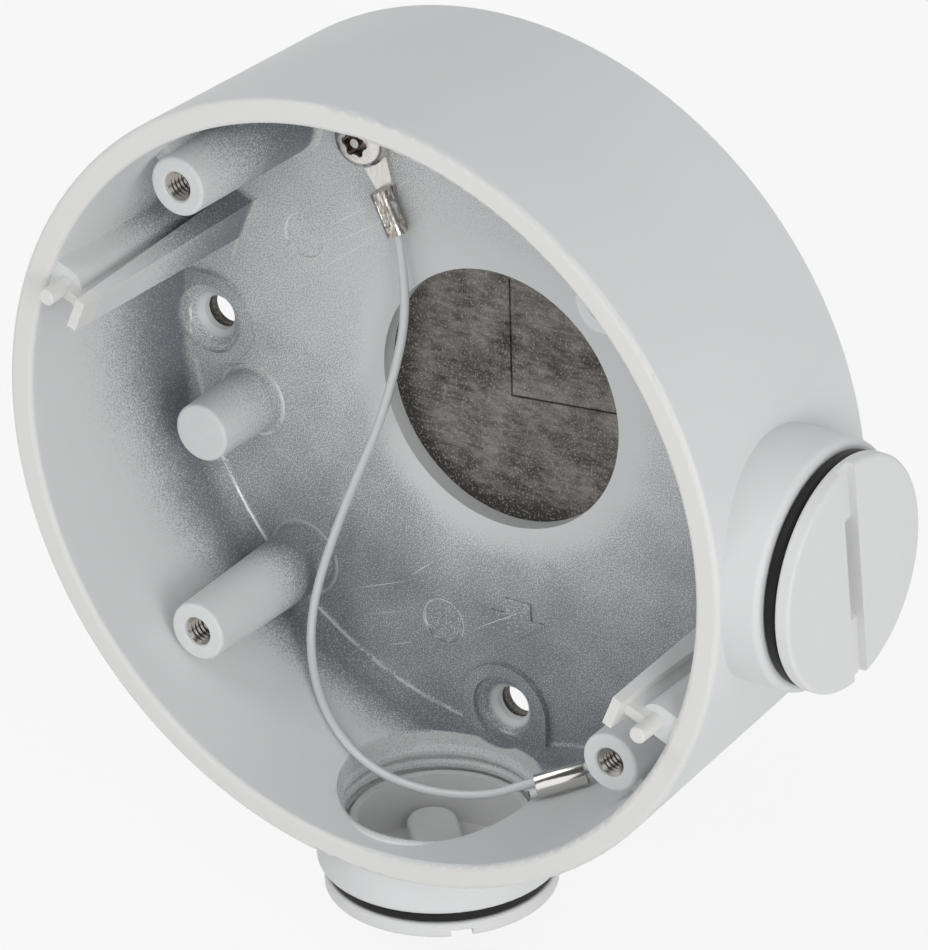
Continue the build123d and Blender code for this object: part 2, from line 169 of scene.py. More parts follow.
class Graph:
    """A node tree with short calls for what the finishes use."""

    def __init__(self, tree: bpy.types.NodeTree) -> None:
        """Takes the tree to build in."""
        self.tree = tree

    def node(
        self, kind: str, inputs: dict[str | int, object] | None = None, **settings: object
    ) -> bpy.types.Node:
        """Adds a node.

        Args:
            kind: Its type.
            inputs: Values or sockets for its inputs, by name or number.
            settings: Values for its properties.

        Returns:
            The node.
        """
        made = self.tree.nodes.new(kind)
        for key, value in settings.items():
            setattr(made, key, value)
        for key, value in (inputs or {}).items():
            self.feed(made.inputs[key], value)
        return made

    def feed(self, target: Socket, value: object) -> None:
        """Links a socket to an input, or sets the input's own value.

        Args:
            target: The input.
            value: The socket, number, vector or colour that it gets.
        """
        if isinstance(value, bpy.types.NodeSocket):
            self.tree.links.new(value, target)
        elif isinstance(value, tuple) and len(value) == 3 and target.type == "RGBA":
            target.default_value = (*value, 1.0)
        else:
            target.default_value = value

    def math(self, operation: str, a: object, b: object = 0.0, clamp: bool = False) -> Socket:
        """Adds a Math node and returns its value."""
        inputs = {0: a, 1: b}
        return self.node("ShaderNodeMath", inputs, operation=operation, use_clamp=clamp).outputs[0]

    def plus(self, a: object, b: object, clamp: bool = False) -> Socket:
        """Adds two numbers."""
        return self.math("ADD", a, b, clamp)

    def minus(self, a: object, b: object) -> Socket:
        """Takes the second number from the first."""
        return self.math("SUBTRACT", a, b)

    def times(self, a: object, b: object) -> Socket:
        """Multiplies two numbers."""
        return self.math("MULTIPLY", a, b)

    def most(self, a: object, b: object, clamp: bool = False) -> Socket:
        """Returns the larger of two numbers."""
        return self.math("MAXIMUM", a, b, clamp)

    def ramp(self, value: object, low: object, high: object) -> Socket:
        """Straight rise of a value from 0 at the low end to 1 at the high one."""
        inputs = {"Value": value, "From Min": low, "From Max": high}
        return self.node("ShaderNodeMapRange", inputs).outputs[0]

    def band(self, value: object, low: object, high: object, down: bool = False) -> Socket:
        """Smooth step of a value.

        Args:
            value: The value.
            low: Where the step starts.
            high: Where it ends.
            down: True to fall from 1 to 0 instead of rising.

        Returns:
            The step, from 0 to 1.
        """
        ends = {"To Min": 1.0, "To Max": 0.0} if down else {"To Min": 0.0, "To Max": 1.0}
        inputs = {"Value": value, "From Min": low, "From Max": high, **ends}
        return self.node("ShaderNodeMapRange", inputs, interpolation_type="SMOOTHSTEP").outputs[0]

    def mix(self, factor: object, a: object, b: object) -> Socket:
        """Mixes two colours and returns the colour."""
        return self.node("ShaderNodeMix", {0: factor, 6: a, 7: b}, data_type="RGBA").outputs[2]

    def blend(self, factor: object, a: object, b: object) -> Socket:
        """Mixes two numbers and returns the number."""
        return self.node("ShaderNodeMix", {0: factor, 2: a, 3: b}).outputs[0]

    def vector(self, operation: str, a: object, b: object) -> bpy.types.Node:
        """Adds a Vector Math node of two vectors and returns it."""
        return self.node("ShaderNodeVectorMath", {0: a, 1: b}, operation=operation)

    def point(self, a: object, b: object) -> Socket:
        """Joins two numbers to a flat vector."""
        return self.node("ShaderNodeCombineXYZ", {0: a, 1: b}).outputs[0]

    def span(self, a: object, b: object) -> Socket:
        """Returns the length of the flat vector that two numbers give."""
        inputs = {0: self.point(a, b)}
        return self.node("ShaderNodeVectorMath", inputs, operation="LENGTH").outputs["Value"]

    def noise(self, where: Socket, given: Noise) -> Socket:
        """Adds a noise over coordinates in metres and returns its value."""
        inputs = {"Scale": given.scale, "Detail": given.detail, "Roughness": given.roughness}
        return self.node("ShaderNodeTexNoise", {"Vector": where, **inputs}).outputs[0]

    def place(self) -> Socket:
        """Returns the object coordinates."""
        return self.node("ShaderNodeTexCoord").outputs["Object"]

    def axes(self, where: Socket) -> Axes:
        """Returns coordinates one by one: X, Y and Z."""
        return self.node("ShaderNodeSeparateXYZ", {0: where}).outputs

    def turned(self, where: Socket, angle: float, scale: object) -> Socket:
        """Turns coordinates about Y, in radians, after scaling them."""
        inputs = {"Vector": where, "Rotation": Euler((0.0, angle, 0.0)), "Scale": scale}
        return self.node("ShaderNodeMapping", inputs).outputs[0]

    def bump(self, height: Socket, strength: float, depth: float = GRAIN_DEPTH) -> Socket:
        """Adds a Bump node and returns its normal."""
        inputs = {"Strength": strength, "Distance": depth, "Height": height}
        return self.node("ShaderNodeBump", inputs).outputs[0]

    def group(self, tree: bpy.types.NodeTree, **values: object) -> Axes:
        """Places a shared effect with its own values.

        Args:
            tree: The effect's node group.
            values: Values for its inputs, with underscores for spaces.

        Returns:
            The effect's outputs.
        """
        made = self.node("ShaderNodeGroup", node_tree=tree)
        for key, value in values.items():
            self.feed(made.inputs[key.replace("_", " ")], value)
        return made.outputs


class Effects:
    """Effects that more than one finish uses, each built once as a node group."""

    def __init__(self) -> None:
        """Builds every effect."""
        self.grain = self.build_grain()
        self.flecks = self.build_flecks()
        self.rubs = self.build_rubs()
        self.ring_line = self.build_ring_line()
        self.scratch = self.build_scratch()

    @staticmethod
    def start(name: str, inputs: dict[str, float], *outputs: str) -> tuple[Graph, Axes, Axes]:
        """Makes an empty group whose inputs and outputs are numbers.

        Args:
            name: The group's name.
            inputs: Default value of each input, by name.
            outputs: Name of each output.

        Returns:
            The graph, what the group is given and what it puts out.
        """
        tree = bpy.data.node_groups.new(name, "ShaderNodeTree")
        number = "NodeSocketFloat"
        for key, value in inputs.items():
            socket = tree.interface.new_socket(key, in_out="INPUT", socket_type=number)
            socket.default_value = value
        for key in outputs:
            tree.interface.new_socket(key, in_out="OUTPUT", socket_type=number)
        graph = Graph(tree)
        return graph, graph.node("NodeGroupInput").outputs, graph.node("NodeGroupOutput").inputs

    def build_grain(self) -> bpy.types.NodeTree:
        """Fine texture of a sprayed or moulded skin, as a height, with a slow drift in tone.

        Returns:
            The effect's node group.
        """
        inputs = {"Coarse": 900.0, "Fine": 4200.0, "Share": 0.4}
        graph, given, result = self.start("surface_grain", inputs, "Height", "Drift")
        where = graph.place()
        coarse = graph.noise(where, Noise(given["Coarse"], 3.0))
        fine = graph.noise(where, Noise(given["Fine"]))
        graph.feed(result["Height"], graph.blend(given["Share"], coarse, fine))
        graph.feed(result["Drift"], graph.noise(where, Noise(28.0, 3.0)))
        return graph.tree

    def build_flecks(self) -> bpy.types.NodeTree:
        """Small dots of overspray, as a mask whose share of the surface is the input Cover.

        Returns:
            The effect's node group.
        """
        inputs = {"Cover": 0.4, "Size": 4600.0}
        graph, given, result = self.start("overspray_flecks", inputs, "Mask")
        dots = graph.noise(graph.place(), Noise(given["Size"], 1.0, 0.6))
        bare_level, cover_drop, softness = 0.69, 0.36, 0.07
        edge = graph.minus(bare_level, graph.times(given["Cover"], cover_drop))
        graph.feed(result["Mask"], graph.band(dots, graph.minus(edge, softness), edge))
        return graph.tree

    def build_rubs(self) -> bpy.types.NodeTree:
        """Long fine rubs across a surface, as a mask.

        Returns:
            The effect's node group.
        """
        inputs = {"Amount": 0.3, "Stretch": 14.0}
        graph, given, result = self.start("rub_marks", inputs, "Mask")
        where = graph.place()
        scale = graph.node("ShaderNodeCombineXYZ", {0: given["Stretch"], 1: 1.0, 2: 1.0})
        lines = graph.noise(graph.turned(where, 0.9, scale.outputs[0]), Noise(160.0, 6.0, 0.65))
        patches = graph.noise(where, Noise(60.0))
        line_edge, patch_edge = (0.54, 0.68), (0.35, 0.7)
        level = graph.times(graph.band(lines, *line_edge), graph.band(patches, *patch_edge))
        graph.feed(result["Mask"], graph.times(level, given["Amount"]))
        return graph.tree

    def build_ring_line(self) -> bpy.types.NodeTree:
        """Thin circle about a line along Y, as a mask.

        Returns:
            The effect's node group.
        """
        inputs = {"Centre X": 0.0, "Centre Z": 0.0, "Radius": 10.0 * MM, "Width": 0.2 * MM}
        graph, given, result = self.start("ring_line", inputs, "Mask")
        axes = graph.axes(graph.place())
        across = graph.minus(axes[0], given["Centre X"])
        rise = graph.minus(axes[2], given["Centre Z"])
        away = graph.math("ABSOLUTE", graph.minus(graph.span(across, rise), given["Radius"]))
        graph.feed(result["Mask"], self.soft_line(graph, away, given["Width"]))
        return graph.tree

    def build_scratch(self) -> bpy.types.NodeTree:
        """Straight fine scratch on a surface that faces along Y, as a mask that tapers to its ends.

        Returns:
            The effect's node group.
        """
        far = 10.0 * MM
        inputs = {"Start X": 0.0, "Start Z": 0.0, "End X": far, "End Z": far, "Width": 0.1 * MM}
        graph, given, result = self.start("scratch", inputs, "Mask")
        axes = graph.axes(graph.place())
        start = graph.point(given["Start X"], given["Start Z"])
        end = graph.point(given["End X"], given["End Z"])
        run = graph.vector("SUBTRACT", end, start).outputs[0]
        gone = graph.vector("SUBTRACT", graph.point(axes[0], axes[2]), start).outputs[0]
        along = graph.vector("DOT_PRODUCT", gone, run).outputs["Value"]
        whole = graph.vector("DOT_PRODUCT", run, run).outputs["Value"]
        share = graph.math("DIVIDE", along, whole, clamp=True)
        foot = graph.node("ShaderNodeVectorMath", {0: run, "Scale": share}, operation="SCALE")
        away = graph.vector("DISTANCE", gone, foot.outputs[0]).outputs["Value"]
        taper = graph.times(graph.times(share, graph.minus(1.0, share)), 4.0)
        graph.feed(result["Mask"], self.soft_line(graph, away, graph.times(given["Width"], taper)))
        return graph.tree

    @staticmethod
    def soft_line(graph: Graph, away: Socket, width: Socket) -> Socket:
        """Turns a distance into a soft-edged line.

        Args:
            graph: The group's graph.
            away: Distance from the line's middle.
            width: Distance at which the line ends.

        Returns:
            The line's mask.
        """
        core_share = 0.4
        return graph.band(away, graph.times(width, core_share), width, down=True)


# Finishes


def new_material(name: str) -> tuple[bpy.types.Material, Graph, bpy.types.Node]:
    """Starts a material.

    Args:
        name: The material's name.

    Returns:
        The material, its graph and its Principled BSDF.
    """
    material = bpy.data.materials.new(name)
    material.use_nodes = True
    return material, Graph(material.node_tree), material.node_tree.nodes["Principled BSDF"]


def toned(colour: Colour, share: float) -> Colour:
    """Returns a colour made lighter or darker by a share."""
    return tuple(min(channel * share, 1.0) for channel in colour)


@dataclass(frozen=True)
class CastPaint:
    """Powder coat of the cast cup, thin and speckled over bare metal inside, with painted shade on the
    upper left of the inside.

    Heights are measured out from the wall, along -Y. A pair gives where a soft edge starts and ends.

    Attributes:
        paint: Colour of the full coat.
        rim: Colour of the rim's face.
        metal: Colour of the metal under the thin coat.
        bare: Colour of rubbed metal.
        depth: Height of the rim's face.
        floor_front: Height of the floor.
        floor_skin: Height at which the floor's own marks end.
        floor_fade: Height at which the floor's coat ends, on the lower right side and on the upper
            left one; the lower end on the upper left is partly painted shadow of the tab.
        cup_edge: Radii at which the inside ends at the rim.
        cup_floor: Heights at which the inside starts.
        rim_edge: Heights at which the rim's face starts.
        hole_radius: Radius of the cable hole.
        port_depth: Height of the ports' axes.
        bore_start: Distances at which a port's bore starts.
        bore_end: Distances at which it ends.
        bore_wall: Radii at which it ends.
        bore_cover: Cover in the bores.
        spray_and_shade_side: Z less X, from the lower right side to the upper left one, which is
            darker: partly thinner spray and partly painted shade on the side that faces away from the
            light.
        wall_reach: Share of the wall's height that the spray covers, on those two sides; the longer
            reach on the upper left is partly painted shade.
        wall_spots: Strength of the patches on the wall.
        floor_cover: Least cover of the floor.
        floor_spots: Strength of the patches on the floor.
        high_side: Z at which the floor's upper part starts.
        high_cover: Cover that the upper part adds.
        hazes: Width and cover of each soft ring round the cable hole.
        left_side: X of the floor's left part.
        left_top: Z at which the left part ends.
        left_cover: Cover that the left part adds.
        stub: X, Z and radius of the plain stub.
        stub_edge: Width of its soft edge.
        stub_cover: Cover of the stub at its foot and at its end.
        haze_end: Cover at which the coat is whole.
        fleck_size: Scale of the flecks, per metre.
        fleck_share: How much coat a fleck adds.
        patches: Noise of the spray.
        fleck_height: Height of a fleck, as a share of the grain's.
        tones: Darkest and lightest tone that the paint drifts to.
        roughness: Roughness of the paint, of its thin coat and of bare metal.
        metallic: Metallic share of the thin coat and of bare metal.
        wear: Noise that breaks up the bare lines.
        wear_edge: Its values at which a line starts.
        line: Radius and width of the floor's casting line.
        line_rest: X at which the casting line fades.
        line_rest_level: What is left of it from there.
        feet: X, Z, radius and width of the bare lines round what stands on the floor, in millimetres.
        scratches: Both ends of each scratch and its width, in millimetres.
    """

    paint: Colour = (0.77, 0.775, 0.775)
    rim: Colour = (0.81, 0.8, 0.785)
    metal: Colour = (0.235, 0.25, 0.272)
    bare: Colour = (0.88, 0.88, 0.87)
    depth: float = 36.5 * MM
    floor_front: float = 4.05 * MM
    floor_skin: Pair = (4.35 * MM, 4.55 * MM)
    floor_fade: Pair = (14.05 * MM, 5.45 * MM)
    cup_edge: Pair = (50.3 * MM, 50.7 * MM)
    cup_floor: Pair = (3.2 * MM, 3.8 * MM)
    rim_edge: Pair = (36.0 * MM, 36.4 * MM)
    hole_radius: float = 18.0 * MM
    port_depth: float = 19.9 * MM
    bore_start: Pair = (47.9 * MM, 48.7 * MM)
    bore_end: Pair = (58.2 * MM, 58.6 * MM)
    bore_wall: Pair = (13.4 * MM, 13.6 * MM)
    bore_cover: float = 0.6
    spray_and_shade_side: Pair = (-6.0 * MM, 62.0 * MM)
    wall_reach: Pair = (0.6, 1.1)
    wall_spots: float = 0.35
    floor_cover: float = 0.22
    floor_spots: float = 0.4
    high_side: Pair = (-32.0 * MM, 24.0 * MM)
    high_cover: float = 0.25
    hazes: tuple[Pair, ...] = ((6.0 * MM, 0.34), (19.0 * MM, 0.17))
    left_side: Pair = (-45.0 * MM, -22.0 * MM)
    left_top: Pair = (-12.0 * MM, 4.0 * MM)
    left_cover: float = 0.14
    stub: tuple[float, float, float] = (-39.26 * MM, -10.52 * MM, 4.6 * MM)
    stub_edge: float = 0.3 * MM
    stub_cover: Pair = (0.36, 1.4)
    haze_end: float = 0.96
    fleck_size: float = 5200.0
    fleck_share: float = 0.6
    patches: Noise = Noise(75.0, 4.0, 0.6)
    fleck_height: float = 0.7
    tones: Pair = (0.985, 1.015)
    roughness: tuple[float, float, float] = (0.5, 0.44, 0.28)
    metallic: Pair = (0.3, 0.5)
    wear: Noise = Noise(300.0, 4.0, 0.7)
    wear_edge: Pair = (0.4, 0.5)
    line: Pair = (48.78 * MM, 0.22 * MM)
    line_rest: Pair = (-14.0 * MM, -12.5 * MM)
    line_rest_level: float = 0.2
    feet: tuple[tuple[float, ...], ...] = (
        (-31.82, -31.82, 5.2, 0.3),
        (31.82, -31.82, 5.2, 0.3),
        (-31.82, 31.82, 5.2, 0.3),
        (-39.26, -10.52, 4.95, 0.32),
        (-9.79, -35.06, 3.1, 0.16),
        (-29.92, 15.51, 3.1, 0.12),
    )
    scratches: tuple[tuple[float, ...], ...] = (
        (-26.0, 17.8, -19.6, 22.4, 0.09),
        (-15.9, 25.4, -13.0, 27.9, 0.09),
        (-27.0, 14.6, -11.3, 24.7, 0.08),
        (-27.5, 11.4, -18.2, 18.5, 0.07),
        (-23.7, -34.2, -15.3, -30.7, 0.07),
        (-22.2, -37.6, -15.4, -35.2, 0.09),
        (-19.0, -41.3, -14.6, -39.6, 0.08),
        (-14.8, -29.7, -10.9, -26.5, 0.07),
        (-5.2, -35.0, 3.1, -29.7, 0.08),
        (-41.8, 9.0, -40.1, 13.7, 0.35),
    )

    def material(self, effects: Effects) -> bpy.types.Material:
        """Builds the finish.

        Args:
            effects: The shared effects.

        Returns:
            The material.
        """
        material, graph, shader = new_material("cast_paint")
        where = graph.place()
        axes = graph.axes(where)
        radius = graph.span(axes[0], axes[2])
        out = graph.times(axes[1], -1.0)

        cup = graph.band(radius, *self.cup_edge, down=True)
        cup = graph.times(cup, graph.band(out, *self.cup_floor))
        bores = graph.most(*(self.bore(graph, axes, port) for port in Port))
        inside = graph.most(cup, bores)
        cover = graph.blend(bores, self.cover(graph, axes, radius, out), self.bore_cover)
        flecks = graph.group(effects.flecks, Cover=cover, Size=self.fleck_size)["Mask"]
        haze = graph.band(cover, 0.0, self.haze_end)
        coat = graph.plus(graph.times(flecks, self.fleck_share), haze, clamp=True)
        thin = graph.times(inside, graph.minus(1.0, coat))

        grain = graph.group(effects.grain, Coarse=850.0, Fine=3600.0, Share=0.35)
        dark, light = (toned(self.paint, tone) for tone in self.tones)
        paint = graph.mix(graph.band(grain["Drift"], *DRIFT), dark, light)
        paint = graph.mix(graph.band(out, *self.rim_edge), paint, self.rim)
        bare = graph.times(self.lines(graph, effects, where, out), cup)
        colour = graph.mix(bare, graph.mix(thin, paint, self.metal), self.bare)
        thin_metal = graph.times(thin, self.metallic[0])
        bare_metal = graph.times(bare, self.metallic[1])
        coated, thinned, rubbed = self.roughness
        roughness = graph.blend(bare, graph.blend(thin, coated, thinned), rubbed)
        height = graph.times(flecks, graph.times(inside, self.fleck_height))
        graph.feed(shader.inputs["Base Color"], colour)
        graph.feed(shader.inputs["Metallic"], graph.plus(thin_metal, bare_metal, clamp=True))
        graph.feed(shader.inputs["Roughness"], roughness)
        graph.feed(shader.inputs["Normal"], graph.bump(graph.plus(grain["Height"], height), 0.3))
        return material

    def cover(self, graph: Graph, axes: Axes, radius: Socket, out: Socket) -> Socket:
        """How much of the coat reached the inside, from 0 to 1, less on the upper left side, where the
        lower cover is partly painted shade.

        Args:
            graph: The graph to build in.
            axes: The object coordinates, one by one.
            radius: Distance from the box's axis.
            out: Height from the wall.

        Returns:
            The cover.
        """
        spray = graph.minus(graph.noise(graph.place(), self.patches), 0.5)
        rise = graph.ramp(out, self.floor_front, self.depth)
        # Upper left side darker: partly thinner spray, partly painted shade of the side that faces
        # away from the light.
        spray_and_shade = graph.band(graph.minus(axes[2], axes[0]), *self.spray_and_shade_side)
        wall = graph.band(rise, 0.0, graph.blend(spray_and_shade, *self.wall_reach))
        wall = graph.plus(wall, graph.times(spray, self.wall_spots))

        floor = graph.plus(graph.times(spray, self.floor_spots), self.floor_cover)
        floor = graph.plus(floor, graph.times(graph.band(axes[2], *self.high_side), self.high_cover))
        for width, strength in self.hazes:
            ring = graph.band(radius, self.hole_radius, self.hole_radius + width, down=True)
            floor = graph.plus(floor, graph.times(ring, strength))
        left = graph.times(graph.band(axes[0], *self.left_side, down=True), self.left_cover)
        left = graph.times(left, graph.band(axes[2], *self.left_top, down=True))
        # The floor's coat ends lower on the upper left: partly painted shadow of the tab.
        fade = graph.blend(spray_and_shade, *self.floor_fade)
        on_floor = graph.band(out, self.floor_skin[0], fade, down=True)
        floor = graph.times(graph.plus(floor, left), on_floor)

        x, z, foot = self.stub
        away = graph.span(graph.minus(axes[0], x), graph.minus(axes[2], z))
        stub = graph.band(away, foot, foot + self.stub_edge, down=True)
        stub = graph.times(stub, graph.blend(rise, *self.stub_cover))
        return graph.most(graph.most(wall, floor), stub, clamp=True)

    def lines(self, graph: Graph, effects: Effects, where: Socket, out: Socket) -> Socket:
        """Bare lines of the floor: the casting line, the lines round its feet and the scratches.

        Args:
            graph: The graph to build in.
            effects: The shared effects.
            where: The object coordinates.
            out: Height from the wall.

        Returns:
            The mask of bare metal.
        """
        radius, width = self.line
        line = graph.group(effects.ring_line, Radius=radius, Width=width)["Mask"]
        right = graph.band(graph.axes(where)[0], *self.line_rest)
        faded = graph.blend(right, 1.0, self.line_rest_level)
        total = graph.times(line, faded)
        for foot in self.feet:
            x, z, radius, width = (value * MM for value in foot)
            ring = graph.group(effects.ring_line, Centre_X=x, Centre_Z=z, Radius=radius, Width=width)
            total = graph.most(total, ring["Mask"])
        total = graph.times(total, graph.band(graph.noise(where, self.wear), *self.wear_edge))
        for scratch in self.scratches:
            names = ("Start_X", "Start_Z", "End_X", "End_Z", "Width")
            ends = {name: value * MM for name, value in zip(names, scratch)}
            total = graph.most(total, graph.group(effects.scratch, **ends)["Mask"])
        return graph.times(total, graph.band(out, *self.floor_skin, down=True))

    def bore(self, graph: Graph, axes: Axes, port: Port) -> Socket:
        """Mask of one port's bore.

        Args:
            graph: The graph to build in.
            axes: The object coordinates, one by one.
            port: The port.

        Returns:
            1 inside the bore and 0 outside.
        """
        if port is Port.SIDE:
            reach, across = axes[0], axes[2]
        else:
            reach, across = graph.times(axes[2], -1.0), axes[0]
        radius = graph.span(across, graph.plus(axes[1], self.port_depth))
        length = graph.band(reach, *self.bore_start)
        length = graph.times(length, graph.band(reach, *self.bore_end, down=True))
        return graph.times(length, graph.band(radius, *self.bore_wall, down=True))


@dataclass(frozen=True)
class PlainFinish:
    """A finish of one base colour with grain, drift and rubs.

    Attributes:
        name: The material's name.
        base: Base colour.
        shade: Colour that the drift and the rubs bring in.
        roughness: Roughness away from the rubs.
        metallic: Metallic share.
        bump: Strength of the grain.
        rubs: Share of the rubs.
        rub_stretch: How much finer the rubs are across than along.
        rub_roughness: Roughness that a rub adds.
        drift_share: How much of the shade the drift brings in.
        coat: Weight of a clear coat.
        specular: Specular level.
    """

    name: str
    base: Colour
    shade: Colour
    roughness: float = 0.5
    metallic: float = 0.0
    bump: float = 0.2
    rubs: float = 0.2
    rub_stretch: float = 12.0
    rub_roughness: float = 0.25
    drift_share: float = 0.35
    coat: float = 0.0
    specular: float = 0.5

    def material(self, effects: Effects) -> bpy.types.Material:
        """Builds the finish.

        Args:
            effects: The shared effects.

        Returns:
            The material.
        """
        material, graph, shader = new_material(self.name)
        grain = graph.group(effects.grain, Coarse=900.0, Fine=4200.0, Share=0.5)
        rubs = graph.group(effects.rubs, Amount=self.rubs, Stretch=self.rub_stretch)["Mask"]
        drift = graph.times(graph.band(grain["Drift"], *DRIFT), self.drift_share)
        colour = graph.mix(graph.plus(rubs, drift, clamp=True), self.base, self.shade)
        roughness = graph.plus(graph.times(rubs, self.rub_roughness), self.roughness)
        graph.feed(shader.inputs["Base Color"], colour)
        graph.feed(shader.inputs["Roughness"], roughness)
        graph.feed(shader.inputs["Normal"], graph.bump(grain["Height"], self.bump))
        shader.inputs["Metallic"].default_value = self.metallic
        shader.inputs["Coat Weight"].default_value = self.coat
        shader.inputs["Specular IOR Level"].default_value = self.specular
        return material


@dataclass(frozen=True)
class FoamSheet:
    """Worn foam: mottled and brushed, with painted shade where the cable hole's edge shades it.

    Attributes:
        dark: Colour of its pits.
        light: Colour of its worn face.
        dust: Colour of the dust on it.
        strokes: Noise of the brush strokes.
        strokes_share: Their weight.
        strokes_turn: Their turn about Y, in radians.
        strokes_scale: Scale of their coordinates: a small one stretches them.
        mottle: Noise of the pits.
        mottle_share: Its weight.
        patches: Noise of the broad patches.
        patches_share: Their weight.
        tone: Tones at which it is darkest and lightest.
        edge: Radii between which the painted shade of the hole's edge lies.
        painted_shade_depth: How dark that painted shade is.
        ragged: How far the pits move the painted shade's edge.
        low_side: X plus Z at which the painted shade ends.
        front: Y at which the front face ends.
        dust_share: How much a speck of dust covers.
    """

    dark: Colour = (0.05, 0.046, 0.042)
    light: Colour = (0.3, 0.283, 0.262)
    dust: Colour = (0.5, 0.49, 0.47)
    strokes: Noise = Noise(1500.0, 4.0, 0.75)
    strokes_share: float = 0.62
    strokes_turn: float = 0.25
    strokes_scale: tuple[float, float, float] = (0.3, 1.0, 1.0)
    mottle: Noise = Noise(190.0, 4.0, 0.65)
    mottle_share: float = 0.62
    patches: Noise = Noise(70.0, 3.0, 0.55)
    patches_share: float = 0.36
    tone: Pair = (0.58, 1.02)
    edge: Pair = (13.5 * MM, 18.5 * MM)
    painted_shade_depth: float = 0.28
    ragged: float = 9.0 * MM
    low_side: Pair = (-16.0 * MM, 2.0 * MM)
    front: Pair = (-1.4 * MM, -0.9 * MM)
    dust_share: float = 0.45

    def material(self, effects: Effects) -> bpy.types.Material:
        """Builds the finish.

        Args:
            effects: The shared effects.

        Returns:
            The material.
        """
        material, graph, shader = new_material("foam_sheet")
        where = graph.place()
        axes = graph.axes(where)
        brushed = graph.turned(where, self.strokes_turn, self.strokes_scale)
        mottle = graph.noise(where, self.mottle)
        tone = graph.times(graph.noise(brushed, self.strokes), self.strokes_share)
        tone = graph.plus(tone, graph.times(mottle, self.mottle_share))
        tone = graph.plus(tone, graph.times(graph.noise(where, self.patches), self.patches_share))

        # Painted shade along the lower left of the cable hole's edge, where the recess shades the
        # foam.
        ragged = graph.times(graph.minus(mottle, 0.5), self.ragged)
        edge = graph.band(graph.plus(graph.span(axes[0], axes[2]), ragged), *self.edge)
        edge = graph.times(edge, graph.band(graph.plus(axes[0], axes[2]), *self.low_side, down=True))
        edge = graph.times(edge, graph.band(axes[1], *self.front, down=True))
        tone = graph.minus(tone, graph.times(edge, self.painted_shade_depth))

        dust = graph.group(effects.flecks, Cover=0.1, Size=3400.0)["Mask"]
        dust = graph.times(dust, self.dust_share)
        colour = graph.mix(graph.band(tone, *self.tone), self.dark, self.light)
        graph.feed(shader.inputs["Base Color"], graph.mix(dust, colour, self.dust))
        graph.feed(shader.inputs["Normal"], graph.bump(tone, 0.8, 0.12 * MM))
        shader.inputs["Roughness"].default_value = 0.7
        shader.inputs["Specular IOR Level"].default_value = 0.3
        return material


@dataclass(frozen=True)
class ScrewPlate:
    """Bright plate of the lanyard screw, with painted shade down in its socket and bright on the
    socket's pin.

    Attributes:
        plate: Colour of the plate.
        socket: Colour down in the socket, a painted shade.
        centre: X and Z of the screw.
        socket_wall: Radii at which the socket ends.
        pin_wall: Radii at which the pin ends.
        socket_top: Distances from the wall at which the socket ends.
        worn_tone: Tone of the plate in its worn spots.
        worn_edge: Values of the grain at which a worn spot ends.
        roughness: Roughness of the plate and down in the socket.
    """

    plate: Colour = (0.74, 0.73, 0.71)
    socket: Colour = (0.2, 0.17, 0.155)
    centre: Pair = (-19.4 * MM, 32.4 * MM)
    socket_wall: Pair = (1.9 * MM, 1.95 * MM)
    pin_wall: Pair = (0.61 * MM, 0.66 * MM)
    socket_top: Pair = (6.55 * MM, 6.9 * MM)
    worn_tone: float = 0.86
    worn_edge: Pair = (0.42, 0.6)
    roughness: Pair = (0.12, 0.34)

    def material(self, effects: Effects) -> bpy.types.Material:
        """Builds the finish.

        Args:
            effects: The shared effects.

        Returns:
            The material.
        """
        material, graph, shader = new_material("screw_plate")
        axes = graph.axes(graph.place())
        radius = graph.span(graph.minus(axes[0], self.centre[0]), graph.minus(axes[2], self.centre[1]))
        out = graph.times(axes[1], -1.0)
        # Painted shade down in the socket, round its pin.
        hole = graph.band(radius, *self.socket_wall, down=True)
        hole = graph.times(hole, graph.band(radius, *self.pin_wall))
        hole = graph.times(hole, graph.band(out, *self.socket_top, down=True))
        grain = graph.group(effects.grain, Coarse=1500.0, Fine=5200.0, Share=0.5)["Height"]
        sound = graph.band(grain, *self.worn_edge)
        plate = graph.mix(sound, toned(self.plate, self.worn_tone), self.plate)
        graph.feed(shader.inputs["Base Color"], graph.mix(hole, plate, self.socket))
        graph.feed(shader.inputs["Roughness"], graph.blend(hole, *self.roughness))
        graph.feed(shader.inputs["Normal"], graph.bump(grain, 0.12))
        shader.inputs["Metallic"].default_value = 1.0
        return material


